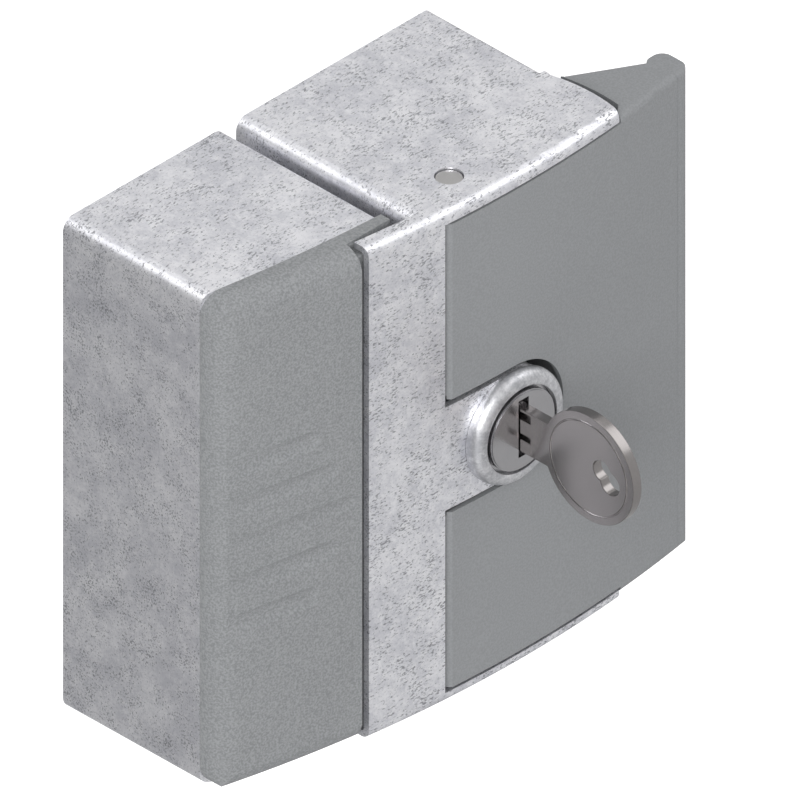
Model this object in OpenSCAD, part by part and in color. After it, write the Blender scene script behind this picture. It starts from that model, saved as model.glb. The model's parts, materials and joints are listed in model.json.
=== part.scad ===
// Compact door lock in two halves, in millimetres.
// X runs along the door from the keeper half to the pull handle, Y points into the door leaf and Z is up.
// The origin is the middle of the lock half's back face, so every depth is measured forward, along -Y.

/* [Lock case] */
// Width of the lock case
case_w = 54.6; // [50:0.1:64]
// Height of both halves
case_h = 120; // [112:1:132]
// Depth of the right side wall, in front of which the handle starts
side_wall_d = 32; // [29:0.5:33]
// Depth of the front face at its crown
front_d = 54.3; // [53:0.1:57]
// Radius of the front face, seen from above
front_r = 305; // [250:5:400]
// Thickness of the galvanised sheet
sheet_t = 1.5; // [1.2:0.1:1.8]
// Outer radius of the bends along the sides
side_bend_r = 3; // [2.4:0.1:4]
// Outer radius of the bend along the front
front_bend_r = 2.1; // [1.9:0.1:2.8]
// Height of the lip that is bent over the front edge
lip_h = 2.7; // [2.3:0.1:3.2]
// Radius of the flange's free end round the pivot
flange_r = 41.2; // [40:0.1:42]

/* [Front strip and arm] */
// Width of the strip that covers the seam
strip_w = 19.8; // [18:0.1:22]
// How far the strip reaches past the case over the keeper half
strip_reach = 14.1; // [12:0.1:15]
// Depth of the short flange at the strip's ends
ear_d = 4.1; // [3.6:0.1:5]
// Height of the arm that carries the cylinder
arm_h = 25.2; // [24.6:0.1:27]

/* [Seam] */
// Gap between the two halves
seam_gap = 3.3; // [2.5:0.1:4]

/* [Plates] */
// Thickness of both back plates
plate_t = 3; // [2.5:0.1:4]
// Radius of the fixing holes
fix_hole_r = 3.3; // [2.7:0.1:3.6]
// Distance between the two fixing holes of each half
fix_pitch = 96; // [92:1:100]

/* [Pull handle] */
// Place of the pivot, from the case's left side
pivot_from_left = 16; // [15:0.1:17]
// Depth of the pivot behind the crown of the front face
pivot_behind_front = 9.8; // [9.4:0.1:10.4]
// Radius of the pivot pins
pivot_pin_r = 3; // [2.5:0.1:3.5]
// Radius of the knuckle round the pivot
knuckle_r = 12.4; // [11.6:0.1:12.4]
// Wall of the handle moulding
handle_wall = 3; // [2.5:0.1:3.4]
// Radius of the small round along the wing's front edges
wing_edge_r = 1.5; // [1:0.1:1.5]
// Distance from the case's left side to the tip of the wing
wing_reach = 79.5; // [76:0.1:84]
// Width of the finger bead along the wing's tip
bead_w = 6; // [5:0.1:7]
// Depth of the finger bead's back, behind the crown of the front face
bead_back = 12.1; // [11.5:0.1:13]
// Radius of the finger bead's corners
bead_r = 2.5; // [1.5:0.1:2.7]
// Depth of the wing's root behind the crown of the front face
wing_root = 19.6; // [18.5:0.1:19.9]
// Height of the wing's tall part, short of the case by this much at each end
wing_inset = 1.7; // [1.4:0.1:2.4]
// Width of the gap between the arm and the slot in the handle
slot_gap = 1.2; // [0.8:0.1:1.6]
// Extra room at the slot's right end, which the swing needs
swing_room = 1.1; // [1:0.1:1.6]

/* [Drive] */
// Length of the handle's fingers, from pivot to dowel
finger_len = 24; // [23:0.1:25]
// Height of the drive dowels' middles, from the lock's middle
dowel_z = 36; // [35:0.5:37]
// Radius of the drive dowels
dowel_r = 3; // [2.5:0.1:3.5]
// Thickness of each finger plate
finger_t = 3.2; // [2.6:0.1:3.6]
// Half the opening between the finger plates
finger_open = 4.1; // [3.6:0.1:4.6]
// Stroke of the bolt
stroke = 10.5; // [9:0.1:11]

/* [Latch bolt] */
// Height of the bolt
bolt_h = 22; // [18:0.5:24]
// Thickness of the bolt
bolt_t = 10; // [9:0.1:11]
// How far the bolt stands out of the lock case
bolt_throw = 10; // [8:0.1:10]
// Thickness of the carriage plate
carriage_t = 2.5; // [2:0.1:3]
// Gap between back plate and carriage
carriage_lift = 3; // [2.5:0.1:3.5]
// Radius of the guide studs' necks
stud_r = 2.5; // [2:0.1:3]
// Radius of the bolt spring's rod
rod_r = 2.5; // [2:0.1:2.8]
// Radius of the bolt spring's wire
wire_r = 0.55; // [0.4:0.05:0.6]
// Number of the bolt spring's turns
spring_turns = 9; // [6:1:12]

/* [Cylinder lock] */
// Place of the cylinder, from the case's left side
cyl_from_left = 24.1; // [23.6:0.1:24.4]
// How far the plug's face stands in front of the arm
plug_proud = 3.3; // [3:0.1:4]
// Radius of the plug's face
face_r = 9.45; // [9:0.05:9.6]
// Radius of the cylinder housing
housing_r = 9.4; // [9:0.05:9.4]
// Length of the housing behind the arm's front
housing_len = 23; // [21:0.5:24]
// Radius of the plug's core
core_r = 6.5; // [6.3:0.1:6.8]
// Outer radius of the domed collar
collar_r = 13; // [12.6:0.1:13]
// Height of the domed collar
collar_rise = 3; // [2.6:0.1:3.2]
// Reach of the cam's tongue
cam_reach = 24; // [22:0.5:26]
// Thickness of the cam
cam_t = 2.5; // [2:0.1:3]
// Number of wafer tumblers
wafers = 5; // [4:1:5]

/* [Key] */
// Radius of the key's bow
bow_r = 12.7; // [11:0.1:14]
// Gap between the bow and the plug's face
neck_len = 7.4; // [6:0.1:12]
// How far the middle of bow and neck lies above the blade's
bow_rise = 0.8; // [0:0.1:1.5]
// Height of the neck
neck_h = 10.4; // [9:0.1:11.4]
// Thickness of the key
key_t = 2.4; // [2.1:0.1:2.6]
// Height of the blade
blade_h = 8; // [7:0.1:8.4]
// Length of the blade behind the plug's face
blade_len = 22.5; // [20:0.5:24]

/* [Keeper half] */
// Width of the keeper half
keeper_w = 46.4; // [42:0.1:52]
// Depth of the cover's joint at its crown
joint_d = 44.8; // [43:0.1:46]
// Radius of the cover's joint, seen from above
joint_r = 380; // [320:5:450]
// How far the crown of the joint lies left of the lock's middle
joint_shift = 9.1; // [6:0.1:12]
// Wall of the cover moulding
cover_wall = 2.5; // [2:0.1:3]
// Radius of the cover's rounded edges
cover_edge_r = 5; // [3.5:0.1:5.6]
// Gap between the cover's step and the end of the strip
cover_step_gap = 1.7; // [1.2:0.1:2.5]
// Thickness of the strike plate
strike_t = 3; // [2.5:0.1:3.5]

/* [Thumb grip] */
// Number of grooves
grooves = 5; // [3:2:7]
// Distance between the grooves
groove_pitch = 9.5; // [8:0.1:11]
// Height of a groove
groove_h = 4.8; // [4:0.1:6]
// Depth of a groove
groove_depth = 0.8; // [0.5:0.1:1.2]
// Length of the outer grooves on the front face
groove_short = 14.5; // [12:0.1:16]
// How much longer each groove is than the next one out
groove_step = 5; // [3:0.1:6]
// How far the middle groove lies below the middle of the lock
groove_drop = 9.5; // [5:0.1:15]

/* [Clearances] */
// Clearance between sliding faces
slide_gap = 0.3; // [0.2:0.05:0.4]
// Radial clearance of a pin in its bore
pin_gap = 0.05; // [0.02:0.01:0.1]
// Clearance between the handle and the case's sheet
swing_gap = 0.6; // [0.4:0.1:0.8]

/* [Hidden] */

// Roundness of small, middle and large arcs
fn_small = 40;
fn_mid = 96;
fn_large = 720;

steel = [0.74, 0.75, 0.78];
bright = [0.82, 0.82, 0.84];
dark_steel = [0.45, 0.46, 0.48];
plastic = [0.53, 0.54, 0.55];
nickel = [0.66, 0.64, 0.62];
brass = [0.78, 0.66, 0.38];

// Main places
left = -case_w / 2;
right = case_w / 2;
top = case_h / 2;
front_cy = front_r - front_d;
pivot = [left + pivot_from_left, -(front_d - pivot_behind_front)];
cyl_x = left + cyl_from_left;
far = 400;

// Heights under the flange: the lip hangs lower than the handle's low part reaches
lip_edge = top - lip_h;
low_top = lip_edge - swing_gap;
tall_top = top - wing_inset;
inner_top = top - sheet_t;
cavity_top = low_top - handle_wall;
wing_swing_r = flange_r + swing_gap;

// Front strip, and the front of the sheet at a place x
strip_l = left - strip_reach;
strip_r = strip_l + strip_w;
function arc_d(r, x) = sqrt(r * r - x * x) - front_cy;

// Handle: the tip, the bead and the drive
tip = left + wing_reach;
bead_l = tip - bead_w;
dowel = pivot + [0, finger_len];
root_y = -(front_d - wing_root);
bead_y = -(front_d - bead_back);
bead_front = arc_d(front_r, tip) + 0.45;
slot_r = arm_h / 2 + slot_gap;
slot_x = cyl_x + swing_room;
finger_r = dowel_r + 2;
pin_clip_t = 1;
pin_clip_z = dowel_z - finger_open - finger_t - slide_gap - pin_clip_t;

// Bolt and carriage, all as depths in front of the back face
carriage_d = plate_t + carriage_lift;
bolt_d = carriage_d + carriage_t;
rod_d = bolt_d + bolt_t / 2;
bolt_tip = left - bolt_throw;
bolt_rear = left + 19.3;
bolt_bore = 18;
bevel = bolt_t - 2.5;
drive_tab_x = dowel[0] + dowel_r + slide_gap;
drive_tab_w = 2 * (finger_open - slide_gap);
drive_tab_d = -dowel[1] + dowel_r + 2.5;
carriage_l = left + 5.3;
carriage_r = right - stroke - 2.8;
carriage_z = dowel_z + finger_open + 0.9;
carriage_head = 4.2;
stud_head_t = 1.7;
studs = [[right - 17.8, 18], [left + 21.3, 27.4]];

// Cylinder lock, as depths in front of the back face
arm_d = front_d;
face_d = arm_d + plug_proud;
housing_rear = arm_d - housing_len;
housing_flange_t = 1.4;
housing_flange_r = collar_r - 1.6;
head_d = arm_d + housing_flange_t + 0.1;
nut_t = 5;
nut_flats = 22;
tail_r = 4;
tail_flat = 3;
clip_neck_r = 3.2;
cam_d = housing_rear - 0.6 - cam_t;
washer_t = 1.2;
screw_head_t = 3;
tongue_w = 5.8;
hub_r = 8;
key_slot_h = neck_h + 3.4;
key_slot_w = key_t + 0.5;
keyway_h = blade_h + 0.5;
wafer_t = 1.2;
wafer_pitch = 2.8;
wafer_first = arm_d - 3.4;
wafer_w = 5;
wafer_h = 2 * core_r - 0.9;
ear_x = 4.9;

// The cam stops this tab of the carriage while the key is turned
stop_x = cyl_x - tongue_w / 2 - 1.1 - carriage_t;
stop_z = cam_reach - 4;
stop_h = 5.5;
stop_d = cam_d + cam_t + 0.8;

// Key
bow_d = face_d + neck_len + bow_r;
shoulder_d = head_d + 0.4;

// Keeper half
keeper_r = left - seam_gap;
keeper_l = keeper_r - keeper_w;
keeper_x = (keeper_l + keeper_r) / 2;
joint_cy = joint_r - joint_d;
step_x = strip_l - cover_step_gap;
step_d = arc_d(front_r - sheet_t, strip_l) - swing_gap;
ear_step_d = arc_d(front_r - ear_d, strip_l) - swing_gap;
window_h = bolt_h + 2;
strike_z = 24;
strike_foot = 15;
strike_screw_x = keeper_r - sheet_t - strike_foot + 5;
strike_screw_z = 18;
cover_post_x = keeper_l + 12;
cover_post_z = 30;
cover_post_r = 4;
cover_screw_r = 1.6;
spigot_t = 1.6;
spigot_d = 6;

// A rectangle with round corners, from exact arcs
module round_rect(x0, x1, y0, y1, r, fn = fn_small) {
    translate([x0 + r, y0]) square([x1 - x0 - 2 * r, y1 - y0]);
    translate([x0, y0 + r]) square([x1 - x0, y1 - y0 - 2 * r]);
    for (x = [x0 + r, x1 - r], y = [y0 + r, y1 - r]) translate([x, y]) circle(r, $fn = fn);
}

// Turns a profile of radius and height along the front face's arc
module sweep_front() {
    translate([0, front_cy, 0]) rotate_extrude(angle = 32, start = 254, $fn = fn_large) children();
}

// The space behind a radius of the front face's arc, full height
module behind_front(r) {
    translate([0, front_cy]) circle(r, $fn = fn_large);
}

// A flat shape seen from above, as a prism between two heights
module prism(z0, z1) {
    translate([0, 0, z0]) linear_extrude(z1 - z0) children();
}

// A shape drawn in X and Z, pushed forward from depth d0 to depth d1
module push(d0, d1) {
    translate([0, -d0, 0]) rotate([90, 0, 0]) linear_extrude(d1 - d0) children();
}

// A round bar along Y between two depths
module bar(x, z, d0, d1, r, fn = fn_small) {
    translate([x, -d0, z]) rotate([90, 0, 0]) cylinder(h = d1 - d0, r = r, $fn = fn);
}

// Copies its children above and below the lock's middle
module both_ends() {
    children();
    mirror([0, 0, 1]) children();
}

// Section of the bent front sheet, from the radius r0 outward
module hoop_section(r0) {
    intersection() {
        difference() {
            round_rect(front_r - 30, front_r, -top, top, front_bend_r);
            round_rect(front_r - 40, front_r - sheet_t, -inner_top, inner_top, front_bend_r - sheet_t);
        }
        translate([r0, -top]) square([front_r - r0, case_h]);
    }
}

// Section of a box made of bent sheet, seen from the front
module sleeve_section(x0, x1) {
    difference() {
        round_rect(x0, x1, -top, top, side_bend_r);
        round_rect(x0 + sheet_t, x1 - sheet_t, -inner_top, inner_top, side_bend_r - sheet_t);
    }
}

// Outline of the case's top plate, seen from above
module top_plate_outline() {
    intersection() {
        behind_front(front_r - front_bend_r);
        union() {
            translate([left + side_bend_r, -side_wall_d]) square([case_w - 2 * side_bend_r, side_wall_d]);
            intersection() {
                translate(pivot) circle(flange_r, $fn = fn_mid);
                translate([left + side_bend_r, -far]) square([far, far - side_wall_d + 0.01]);
            }
        }
    }
}

module case_shell() {
    color(steel) difference() {
        union() {
            // Box of the side walls, and the left wall's longer front part
            push(0, side_wall_d) sleeve_section(left, right);
            intersection() {
                push(side_wall_d - 1, front_d) intersection() {
                    sleeve_section(left, right);
                    translate([left, -top]) square([side_bend_r + 0.01, case_h]);
                }
                prism(-top, top) behind_front(front_r - ear_d + 0.2);
            }
            both_ends() prism(inner_top, top) top_plate_outline();
            // Front strip with its short flanges
            intersection() {
                sweep_front() hoop_section(front_r - ear_d);
                prism(-top, top) translate([strip_l, -far]) square([strip_w, far]);
            }
            // Lips over the handle's front edges
            intersection() {
                sweep_front() hoop_section(front_r - front_bend_r - 0.5);
                prism(-top, top) intersection() {
                    translate(pivot) circle(flange_r, $fn = fn_mid);
                    translate([strip_r - 0.5, -far]) square([far, far]);
                }
                push(0, far) both_edges(lip_edge);
            }
            // Arm that carries the cylinder
            intersection() {
                sweep_front() translate([front_r - sheet_t, -top]) square([sheet_t, case_h]);
                push(0, far) {
                    translate([strip_r - 1, -arm_h / 2]) square([cyl_x - strip_r + 1, arm_h]);
                    translate([cyl_x, 0]) circle(arm_h / 2, $fn = fn_mid);
                }
            }
        }
        bar(cyl_x, 0, front_d - 10, front_d + 10, housing_r + pin_gap, fn_mid);
        translate([pivot[0], pivot[1], -far]) cylinder(h = 2 * far, r = pivot_pin_r + pin_gap, $fn = fn_small);
        // Mouth of the bolt
        translate([left - 1, -(bolt_d + bolt_t + slide_gap), -bolt_h / 2 - slide_gap])
            cube([sheet_t + 2, bolt_t + 2 * slide_gap, bolt_h + 2 * slide_gap]);
    }
}

// Everything above a height and below its mirror image, drawn in X and Z
module both_edges(z) {
    translate([-far, z]) square([2 * far, far]);
    translate([-far, -z - far]) square([2 * far, far]);
}

// Two fixing holes one above the other
module fixing_holes(x) {
    for (z = [-1, 1] * fix_pitch / 2) bar(x, z, -1, plate_t + 1, fix_hole_r);
}

module back_plate() {
    color(bright) difference() {
        push(0, plate_t) round_rect(left + sheet_t, right - sheet_t, -inner_top, inner_top,
                                    side_bend_r - sheet_t);
        fixing_holes(0);
        for (s = studs, z = [-1, 1]) bar(s[0], z * s[1], -1, plate_t + 1, stud_r + pin_gap);
    }
}

module guide_studs() {
    color(bright) for (s = studs, z = [-1, 1]) {
        bar(s[0], z * s[1], 0.3, bolt_d + slide_gap, stud_r);
        bar(s[0], z * s[1], plate_t, carriage_d - slide_gap / 2, carriage_head - 0.4);
        bar(s[0], z * s[1], bolt_d + slide_gap, bolt_d + slide_gap + stud_head_t, carriage_head);
    }
}

module spring_rod() {
    rod_l = bolt_rear - bolt_bore + stroke + 1.5;
    color(bright) translate([0, -rod_d, 0]) rotate([0, 90, 0]) {
        translate([0, 0, rod_l]) cylinder(h = right - sheet_t - rod_l, r = rod_r, $fn = fn_small);
        translate([0, 0, right - sheet_t - 2]) cylinder(h = 2, r = rod_r + 2.1, $fn = fn_small);
    }
}

// Points of a helix along +X with a round wire, ring by ring
function coil_points(mean_r, wire, length, turns, per_turn, sides) =
    [for (i = [0 : turns * per_turn], j = [0 : sides - 1])
        let (a = 360 * i / per_turn, b = 360 * j / sides, r = mean_r + wire * cos(b))
        [length * i / (turns * per_turn) + wire * sin(b), r * cos(a), r * sin(a)]];

// Triangles between neighbouring rings of a tube
function tube_faces(rings, sides) =
    [for (i = [0 : rings - 2], j = [0 : sides - 1])
        let (p = i * sides + j, q = i * sides + (j + 1) % sides)
        each [[p, q, p + sides], [q, q + sides, p + sides]]];

module coil(mean_r, wire, length, turns, per_turn, sides) {
    rings = turns * per_turn + 1;
    polyhedron(points = coil_points(mean_r, wire, length, turns, per_turn, sides),
               faces = concat([[for (j = [sides - 1 : -1 : 0]) j]],
                              tube_faces(rings, sides),
                              [[for (j = [0 : sides - 1]) (rings - 1) * sides + j]]));
}

module bolt_spring() {
    x0 = bolt_rear + wire_r + 0.05;
    x1 = right - sheet_t - 2 - wire_r - 0.05;
    color(bright) translate([x0, -rod_d, 0])
        coil(rod_r + wire_r + 0.5, wire_r, x1 - x0, spring_turns, 16, 6);
}

module pivot_pins() {
    z0 = pin_clip_z - 1.2;
    color(nickel) both_ends() difference() {
        translate([pivot[0], pivot[1], z0]) cylinder(h = top - 0.2 - z0, r = pivot_pin_r, $fn = fn_small);
        translate([pivot[0], pivot[1], pin_clip_z - 0.05])
            clip_ring(pivot_pin_r - 0.5, pivot_pin_r + 1, pin_clip_t + 0.1);
    }
}

// A flat ring between two radii
module clip_ring(r0, r1, t) {
    difference() {
        cylinder(h = t, r = r1, $fn = fn_small);
        translate([0, 0, -1]) cylinder(h = t + 2, r = r0, $fn = fn_small);
    }
}

// An open retaining clip, which snaps into the groove of a shaft
module snap_clip(r0, r1, t) {
    difference() {
        clip_ring(r0, r1, t);
        translate([-r0 * 0.8, 0, -1]) cube([r0 * 1.6, r1 + 1, t + 2]);
    }
}

module pin_clips() {
    color(dark_steel) both_ends() translate([pivot[0], pivot[1], pin_clip_z])
        snap_clip(pivot_pin_r - 0.45, pivot_pin_r + 1.6, pin_clip_t);
}

module cylinder_collar() {
    dome = collar_r - face_r - 1.15;
    color(bright) difference() {
        translate([cyl_x, -arm_d + 0.5, 0]) rotate([90, 0, 0]) rotate_extrude($fn = fn_mid) difference() {
            union() {
                translate([face_r + 0.5, 0]) square([collar_r - face_r - 0.5, collar_rise - dome + 0.5]);
                intersection() {
                    translate([collar_r - dome, collar_rise - dome + 0.5]) circle(dome, $fn = fn_mid);
                    translate([face_r + 0.5, 0]) square([collar_r, collar_rise + 1]);
                }
            }
            // Hollow under the dome for the housing's flange
            translate([face_r, -1]) square([housing_flange_r + 0.2 - face_r, housing_flange_t + 1.6]);
        }
        prism(-top, top) behind_front(front_r);
    }
}

module cylinder_housing() {
    color(bright) difference() {
        union() {
            bar(cyl_x, 0, housing_rear, arm_d + 0.1, housing_r, fn_mid);
            bar(cyl_x, 0, arm_d, arm_d + housing_flange_t, housing_flange_r, fn_mid);
        }
        bar(cyl_x, 0, housing_rear - 1, arm_d + 5, core_r + pin_gap, fn_mid);
    }
}

module cylinder_nut() {
    d1 = arm_d - sheet_t - 0.35;
    color(bright) difference() {
        bar(cyl_x, 0, d1 - nut_t, d1, nut_flats / sqrt(3), 6);
        bar(cyl_x, 0, d1 - nut_t - 1, d1 + 1, housing_r + pin_gap, fn_mid);
    }
}

// Outline of the handle seen from above, without the height steps
module handle_outline() {
    intersection() {
        behind_front(front_r + 1);
        union() {
            translate(pivot) circle(knuckle_r, $fn = fn_mid);
            polygon([[pivot[0], pivot[1] + knuckle_r], [right + 4.5, root_y], [bead_l + 1.2, bead_y - 1.3],
                     [bead_l + 1.2, -far], [pivot[0], -far]]);
            round_rect(bead_l, tip, -bead_front, bead_y, bead_r);
            translate([bead_l, -front_d]) square([2, front_d - bead_r + bead_y]);
        }
    }
}

// The hollow of the handle, open towards the back
module handle_hollow() {
    intersection() {
        behind_front(front_r - handle_wall);
        union() {
            translate(pivot) circle(knuckle_r - handle_wall, $fn = fn_mid);
            translate([pivot[0], -far]) square([bead_l - pivot[0], far]);
            translate([pivot[0] - 2 * knuckle_r, pivot[1]]) square([2 * knuckle_r + 1, far]);
        }
    }
}

// Section of a body behind the front face, with round edges at top and bottom
module rounded_section(z, r) {
    round_rect(front_r - 60, front_r, -z, z, r);
}

// One finger plate, seen from above
module finger_outline() {
    intersection() {
        behind_front(front_r - handle_wall + 0.3);
        union() {
            translate(pivot) circle(knuckle_r - handle_wall + 0.3, $fn = fn_mid);
            translate(dowel) circle(finger_r, $fn = fn_small);
            translate([pivot[0] - finger_r, pivot[1]]) square([2 * finger_r, finger_len]);
            translate([pivot[0], -front_d]) square([16, pivot_behind_front + 4]);
        }
    }
}

module slot_outline(extra) {
    translate([left, -slot_r - extra]) square([slot_x - left, 2 * (slot_r + extra)]);
    translate([slot_x, 0]) circle(slot_r + extra, $fn = fn_mid);
}

module pull_handle() {
    color(plastic) difference() {
        union() {
            difference() {
                intersection() {
                    sweep_front() rounded_section(tall_top, wing_edge_r);
                    prism(-top, top) handle_outline();
                }
                // Under the flange's round end the handle is lower
                both_ends() translate([pivot[0], pivot[1], low_top])
                    cylinder(h = top, r = wing_swing_r, $fn = fn_mid);
                prism(-cavity_top, cavity_top) handle_hollow();
            }
            both_ends() for (z = [dowel_z - finger_open - finger_t, dowel_z + finger_open])
                prism(z, z + finger_t) finger_outline();
        }
        // Slot for the arm and the collar, wider on the inside so that the swing clears the collar
        push(pivot_behind_front + 30, far) slot_outline(0);
        push(pivot_behind_front + 30, front_d - handle_wall / 2) slot_outline(0.9);
        both_ends() {
            translate([pivot[0], pivot[1], 0]) cylinder(h = top, r = pivot_pin_r + pin_gap, $fn = fn_small);
            translate([pivot[0], pivot[1], cavity_top - 1])
                cylinder(h = handle_wall + 2, r = pivot_pin_r + 1, $fn = fn_small);
            translate([dowel[0], dowel[1], 0]) cylinder(h = top, r = dowel_r, $fn = fn_small);
        }
    }
}

module handle_bushes() {
    color(brass) both_ends() translate([pivot[0], pivot[1], 0]) difference() {
        union() {
            translate([0, 0, cavity_top]) cylinder(h = handle_wall, r = pivot_pin_r + 1, $fn = fn_small);
            translate([0, 0, low_top])
                cylinder(h = inner_top - slide_gap - low_top, r = pivot_pin_r + 3, $fn = fn_small);
        }
        cylinder(h = top, r = pivot_pin_r + pin_gap, $fn = fn_small);
    }
}

module drive_dowels() {
    half = finger_open + finger_t;
    color(bright) both_ends() translate([dowel[0], dowel[1], dowel_z - half])
        cylinder(h = 2 * half, r = dowel_r, $fn = fn_small);
}

// Slot that lets the carriage travel past a stud
module stud_slot(x, z) {
    r = stud_r + 0.1;
    for (s = [0, stroke + 0.4]) bar(x - s + 0.2, z, 0, bolt_d + 1, r);
    translate([x - stroke - 0.2, -bolt_d - 1, z - r]) cube([stroke + 0.4, bolt_d + 1, 2 * r]);
}

module bolt_carriage() {
    color(bright) difference() {
        union() {
            push(carriage_d, bolt_d)
                round_rect(carriage_l, carriage_r, -carriage_z, carriage_z, 3);
            for (z = [-1, 1] * dowel_z)
                translate([drive_tab_x, -drive_tab_d, z - drive_tab_w / 2])
                    cube([carriage_t, drive_tab_d - carriage_d, drive_tab_w]);
            translate([stop_x, -stop_d, -stop_z - stop_h / 2])
                cube([carriage_t, stop_d - carriage_d, stop_h]);
        }
        for (s = studs, z = [-1, 1]) stud_slot(s[0], z * s[1]);
        for (z = [-1, 1] * bolt_h * 0.32) bolt_screw(z, pin_gap);
    }
}

// A countersunk screw that holds the bolt to the carriage
module bolt_screw(z, gap) {
    x = bolt_rear - 9;
    bar(x, z, carriage_d - gap, bolt_d + 6.5 + gap, 2 + gap);
    translate([x, -carriage_d + gap, z]) rotate([90, 0, 0])
        cylinder(h = 2.1, r1 = 4 + gap, r2 = 2 + gap, $fn = fn_small);
}

module bolt_screws() {
    color(dark_steel) for (z = [-1, 1] * bolt_h * 0.32) difference() {
        bolt_screw(z, 0);
        bar(bolt_rear - 9, z, 0, carriage_d + 1.3, 1.25, 6);
    }
}

module latch_bolt() {
    color(bright) difference() {
        prism(-bolt_h / 2, bolt_h / 2) polygon([
            [bolt_rear, -bolt_d], [bolt_tip + bevel, -bolt_d], [bolt_tip, -bolt_d - bevel],
            [bolt_tip, -bolt_d - bolt_t], [bolt_rear, -bolt_d - bolt_t]]);
        translate([bolt_rear - bolt_bore, -rod_d, 0]) rotate([0, 90, 0])
            cylinder(h = bolt_bore + 1, r = rod_r + 0.1, $fn = fn_small);
        for (z = [-1, 1] * bolt_h * 0.32) bolt_screw(z, pin_gap);
    }
}

// The tail's section, round with two flats
module tail_section(gap) {
    intersection() {
        circle(tail_r + gap, $fn = fn_small);
        square([2 * (tail_flat + gap), 2 * (tail_r + 1)], center = true);
    }
}

function wafer_d(i) = wafer_first - i * wafer_pitch;

module cylinder_plug() {
    color(nickel) difference() {
        union() {
            bar(cyl_x, 0, head_d, face_d - 0.3, face_r, fn_mid);
            bar(cyl_x, 0, head_d, face_d, face_r - 0.3, fn_mid);
            bar(cyl_x, 0, housing_rear, head_d + 0.1, core_r, fn_mid);
            bar(cyl_x, 0, cam_d + cam_t - 0.1, housing_rear + 0.1, clip_neck_r);
            translate([cyl_x, 0, 0]) push(cam_d, cam_d + cam_t) tail_section(0);
        }
        // Slot for the key's neck, and the keyway behind it
        translate([cyl_x - key_slot_w / 2, -face_d - 1, bow_rise - key_slot_h / 2])
            cube([key_slot_w, face_d + 1 - shoulder_d + 0.3, key_slot_h]);
        translate([cyl_x - key_slot_w / 2, -face_d - 1, -keyway_h / 2])
            cube([key_slot_w, blade_len + 1.5, keyway_h]);
        for (i = [0 : wafers - 1]) translate([cyl_x, -wafer_d(i), 0]) {
            translate([-wafer_w / 2 - 0.15, -wafer_t / 2 - 0.1, -core_r - 1])
                cube([wafer_w + 0.3, wafer_t + 0.2, 2 * core_r + 2]);
            translate([0, -wafer_t / 2 - 0.1, -3.2]) cube([ear_x + 0.2, wafer_t + 0.2, 7.6]);
            translate([3.8, 0, -3.2]) cylinder(h = 7.6, r = 1.15, $fn = fn_small);
        }
        bar(cyl_x, 0, cam_d - 1, cam_d + 7, 1.7);
    }
}

module plug_clip() {
    color(dark_steel) translate([cyl_x, -housing_rear + 0.55, 0]) rotate([90, 0, 0])
        snap_clip(clip_neck_r + 0.05, core_r + 1.6, 0.5);
}

module wafer_tumblers() {
    color(brass) for (i = [0 : wafers - 1]) translate([cyl_x, -wafer_d(i), 0]) difference() {
        translate([0, wafer_t / 2, 0]) rotate([90, 0, 0]) linear_extrude(wafer_t) {
            intersection() {
                square([wafer_w, wafer_h], center = true);
                circle(core_r - 0.1, $fn = fn_mid);
            }
            translate([0, 2.5]) square([ear_x, 1.7]);
        }
        translate([-key_slot_w / 2, -wafer_t, -keyway_h / 2]) cube([key_slot_w, 2 * wafer_t, keyway_h]);
    }
}

module tumbler_springs() {
    color(bright) for (i = [0 : wafers - 1]) translate([cyl_x + 3.8, -wafer_d(i), -2.9])
        rotate([0, -90, 0]) coil(0.75, 0.2, 5.1, 4, 8, 4);
}

module lock_cam() {
    color(bright) translate([cyl_x, 0, 0]) push(cam_d, cam_d + cam_t) difference() {
        union() {
            circle(hub_r, $fn = fn_mid);
            polygon([[0, hub_r - 0.6], [cam_reach - 9, tongue_w / 2], [cam_reach, tongue_w / 2],
                     [cam_reach, -tongue_w / 2], [cam_reach - 9, -tongue_w / 2], [0, 0.6 - hub_r]]);
        }
        tail_section(0.05);
    }
}

module cam_washer() {
    color(bright) difference() {
        bar(cyl_x, 0, cam_d - washer_t, cam_d, 5.5);
        bar(cyl_x, 0, cam_d - washer_t - 1, cam_d + 1, 1.75);
    }
}

module cam_screw() {
    d0 = cam_d - washer_t;
    color(dark_steel) difference() {
        union() {
            bar(cyl_x, 0, d0 - screw_head_t, d0, 3.5);
            bar(cyl_x, 0, d0 - 0.1, cam_d + 6, 1.65);
        }
        bar(cyl_x, 0, d0 - screw_head_t - 1, d0 - screw_head_t + 1.6, 1.45, 6);
    }
}

// Depths of the key's cuts, one for each wafer
cuts = [0.9, 1.5, 0.6, 1.2, 1.6];

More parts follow.
